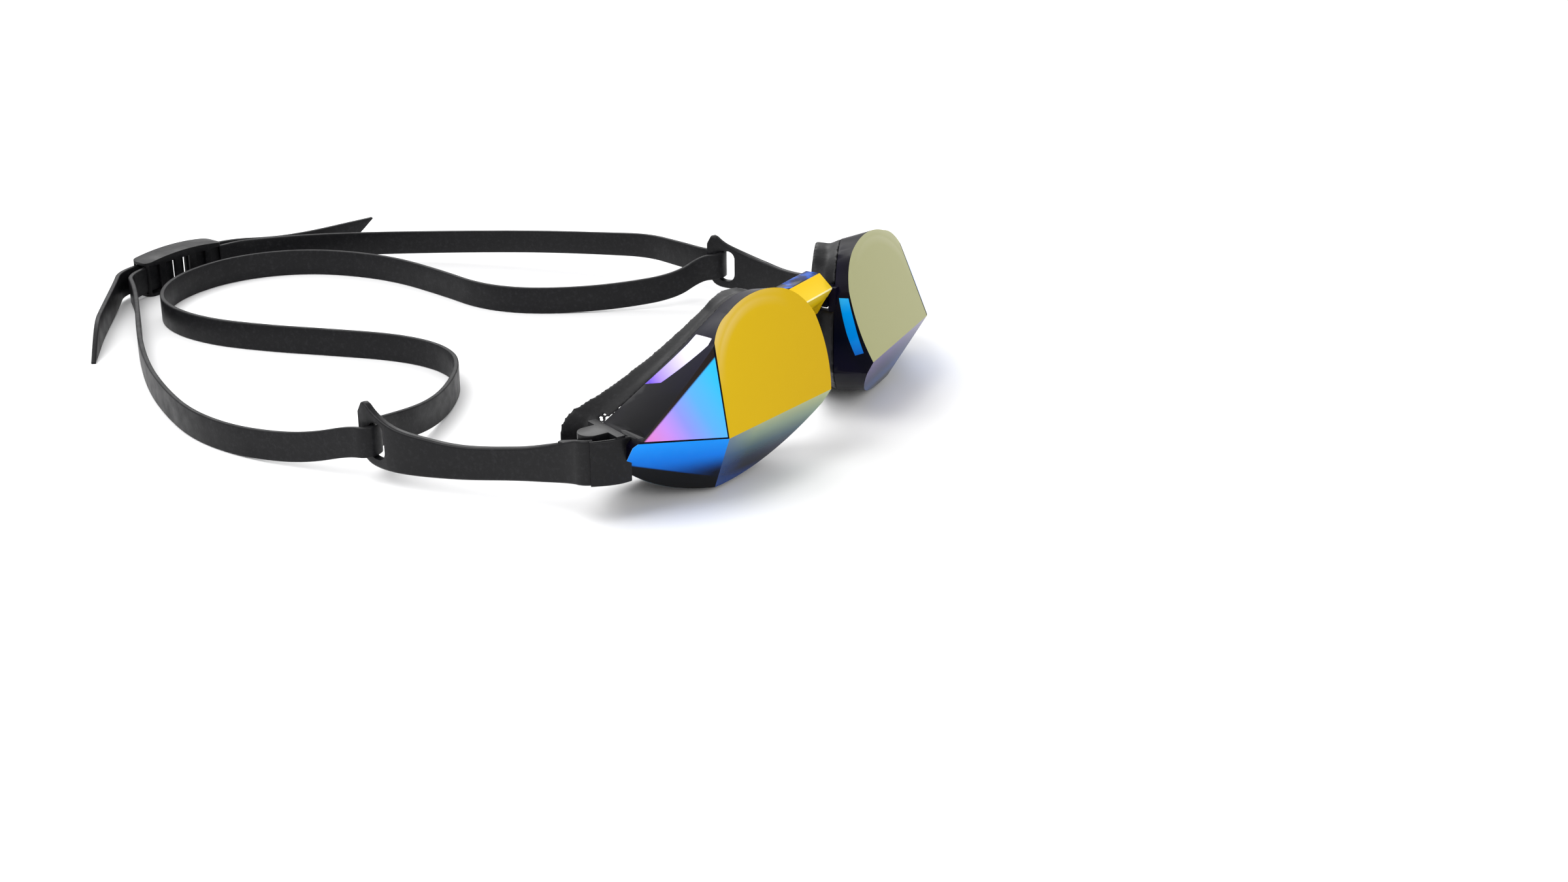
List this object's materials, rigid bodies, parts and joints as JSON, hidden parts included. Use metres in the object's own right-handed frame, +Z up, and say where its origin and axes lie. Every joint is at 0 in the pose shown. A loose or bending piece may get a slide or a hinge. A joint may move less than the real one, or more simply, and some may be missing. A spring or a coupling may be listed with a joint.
{
  "type": "swim goggles",
  "caption": "Racing swim goggles with faceted mirrored lenses, soft gaskets, clip-in nose bridge, hinged side arms and a looped strap with a ladder buckle.",
  "frame": {"origin": "centre of the goggles' bounding box in plan, on the table they lie on", "axes": "+X to the wearer's left, +Y from the lenses back to the buckle, +Z up from the table"},
  "size_m": [0.1707, 0.239, 0.0447],
  "materials": {
    "lens": "iridescent mirror coat over dark tinted plastic",
    "gasket": "satin silicone",
    "bracket": "satin",
    "arm": "semi-gloss",
    "bridge": "mirror coated",
    "strap": "satin silicone",
    "buckle": "satin"
  },
  "bodies": {
    "goggles": {"lens_left": "lens", "lens_right": "lens", "gasket_left": "gasket", "gasket_right": "gasket", "bracket_left": "bracket", "bracket_right": "bracket", "buckle": "buckle", "strap_outer_left": "strap", "strap_outer_right": "strap", "strap_inner_left": "strap", "strap_inner_right": "strap", "strap_tail_left": "strap", "strap_tail_right": "strap"},
    "left_arm": {"arm_left": "arm", "strap_fold_left": "strap"},
    "right_arm": {"arm_right": "arm", "strap_fold_right": "strap"},
    "nose_piece": {"nose_bridge": "bridge"}
  },
  "joints": [
    {"name": "left_arm_swing", "type": "hinge", "parent": "goggles", "child": "left_arm", "pos_m": [0.06592, -0.08997, 0.0149], "axis": [0, 0, -1], "range_deg": [0, 15], "deforming": ["strap_outer_left", "strap_inner_left"]},
    {"name": "right_arm_swing", "type": "hinge", "parent": "goggles", "child": "right_arm", "pos_m": [-0.0724, -0.08997, 0.0149], "axis": [0, 0, 1], "range_deg": [0, 15], "deforming": ["strap_outer_right", "strap_inner_right"]},
    {"name": "nose_bridge_clip", "type": "slide", "parent": "goggles", "child": "nose_piece", "axis": [0, 0, 1], "range_m": [0, 0.006]}
  ]
}
